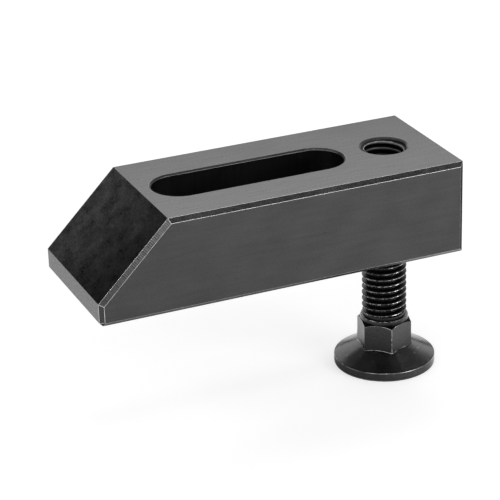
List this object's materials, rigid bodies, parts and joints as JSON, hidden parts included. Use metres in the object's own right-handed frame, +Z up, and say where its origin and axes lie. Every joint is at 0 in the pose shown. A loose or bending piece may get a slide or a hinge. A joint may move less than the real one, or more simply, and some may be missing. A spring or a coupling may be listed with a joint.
{
  "type": "strap clamp",
  "caption": "Slotted steel strap clamp with a sloped nose and a height adjusting support screw that has a hexagon and a round foot.",
  "frame": {"origin": "middle of the clamping slot, on the strap's top face", "axes": "+Z up, out of the top face; +Y along the strap from its nose to the support screw; +X across the strap"},
  "size_m": [0.04, 0.1006, 0.0621],
  "materials": {
    "strap_steel": "black oxidised milled bar steel",
    "screw_steel": "black oxidised turned steel"
  },
  "bodies": {
    "strap": {"clamp_strap": "strap_steel"},
    "screw": {"support_screw": "screw_steel"}
  },
  "joints": [
    {"name": "height_screw", "type": "slide", "parent": "strap", "child": "screw", "axis": [0, 0, 1], "range_m": [-0.00525, 0.02275]}
  ]
}
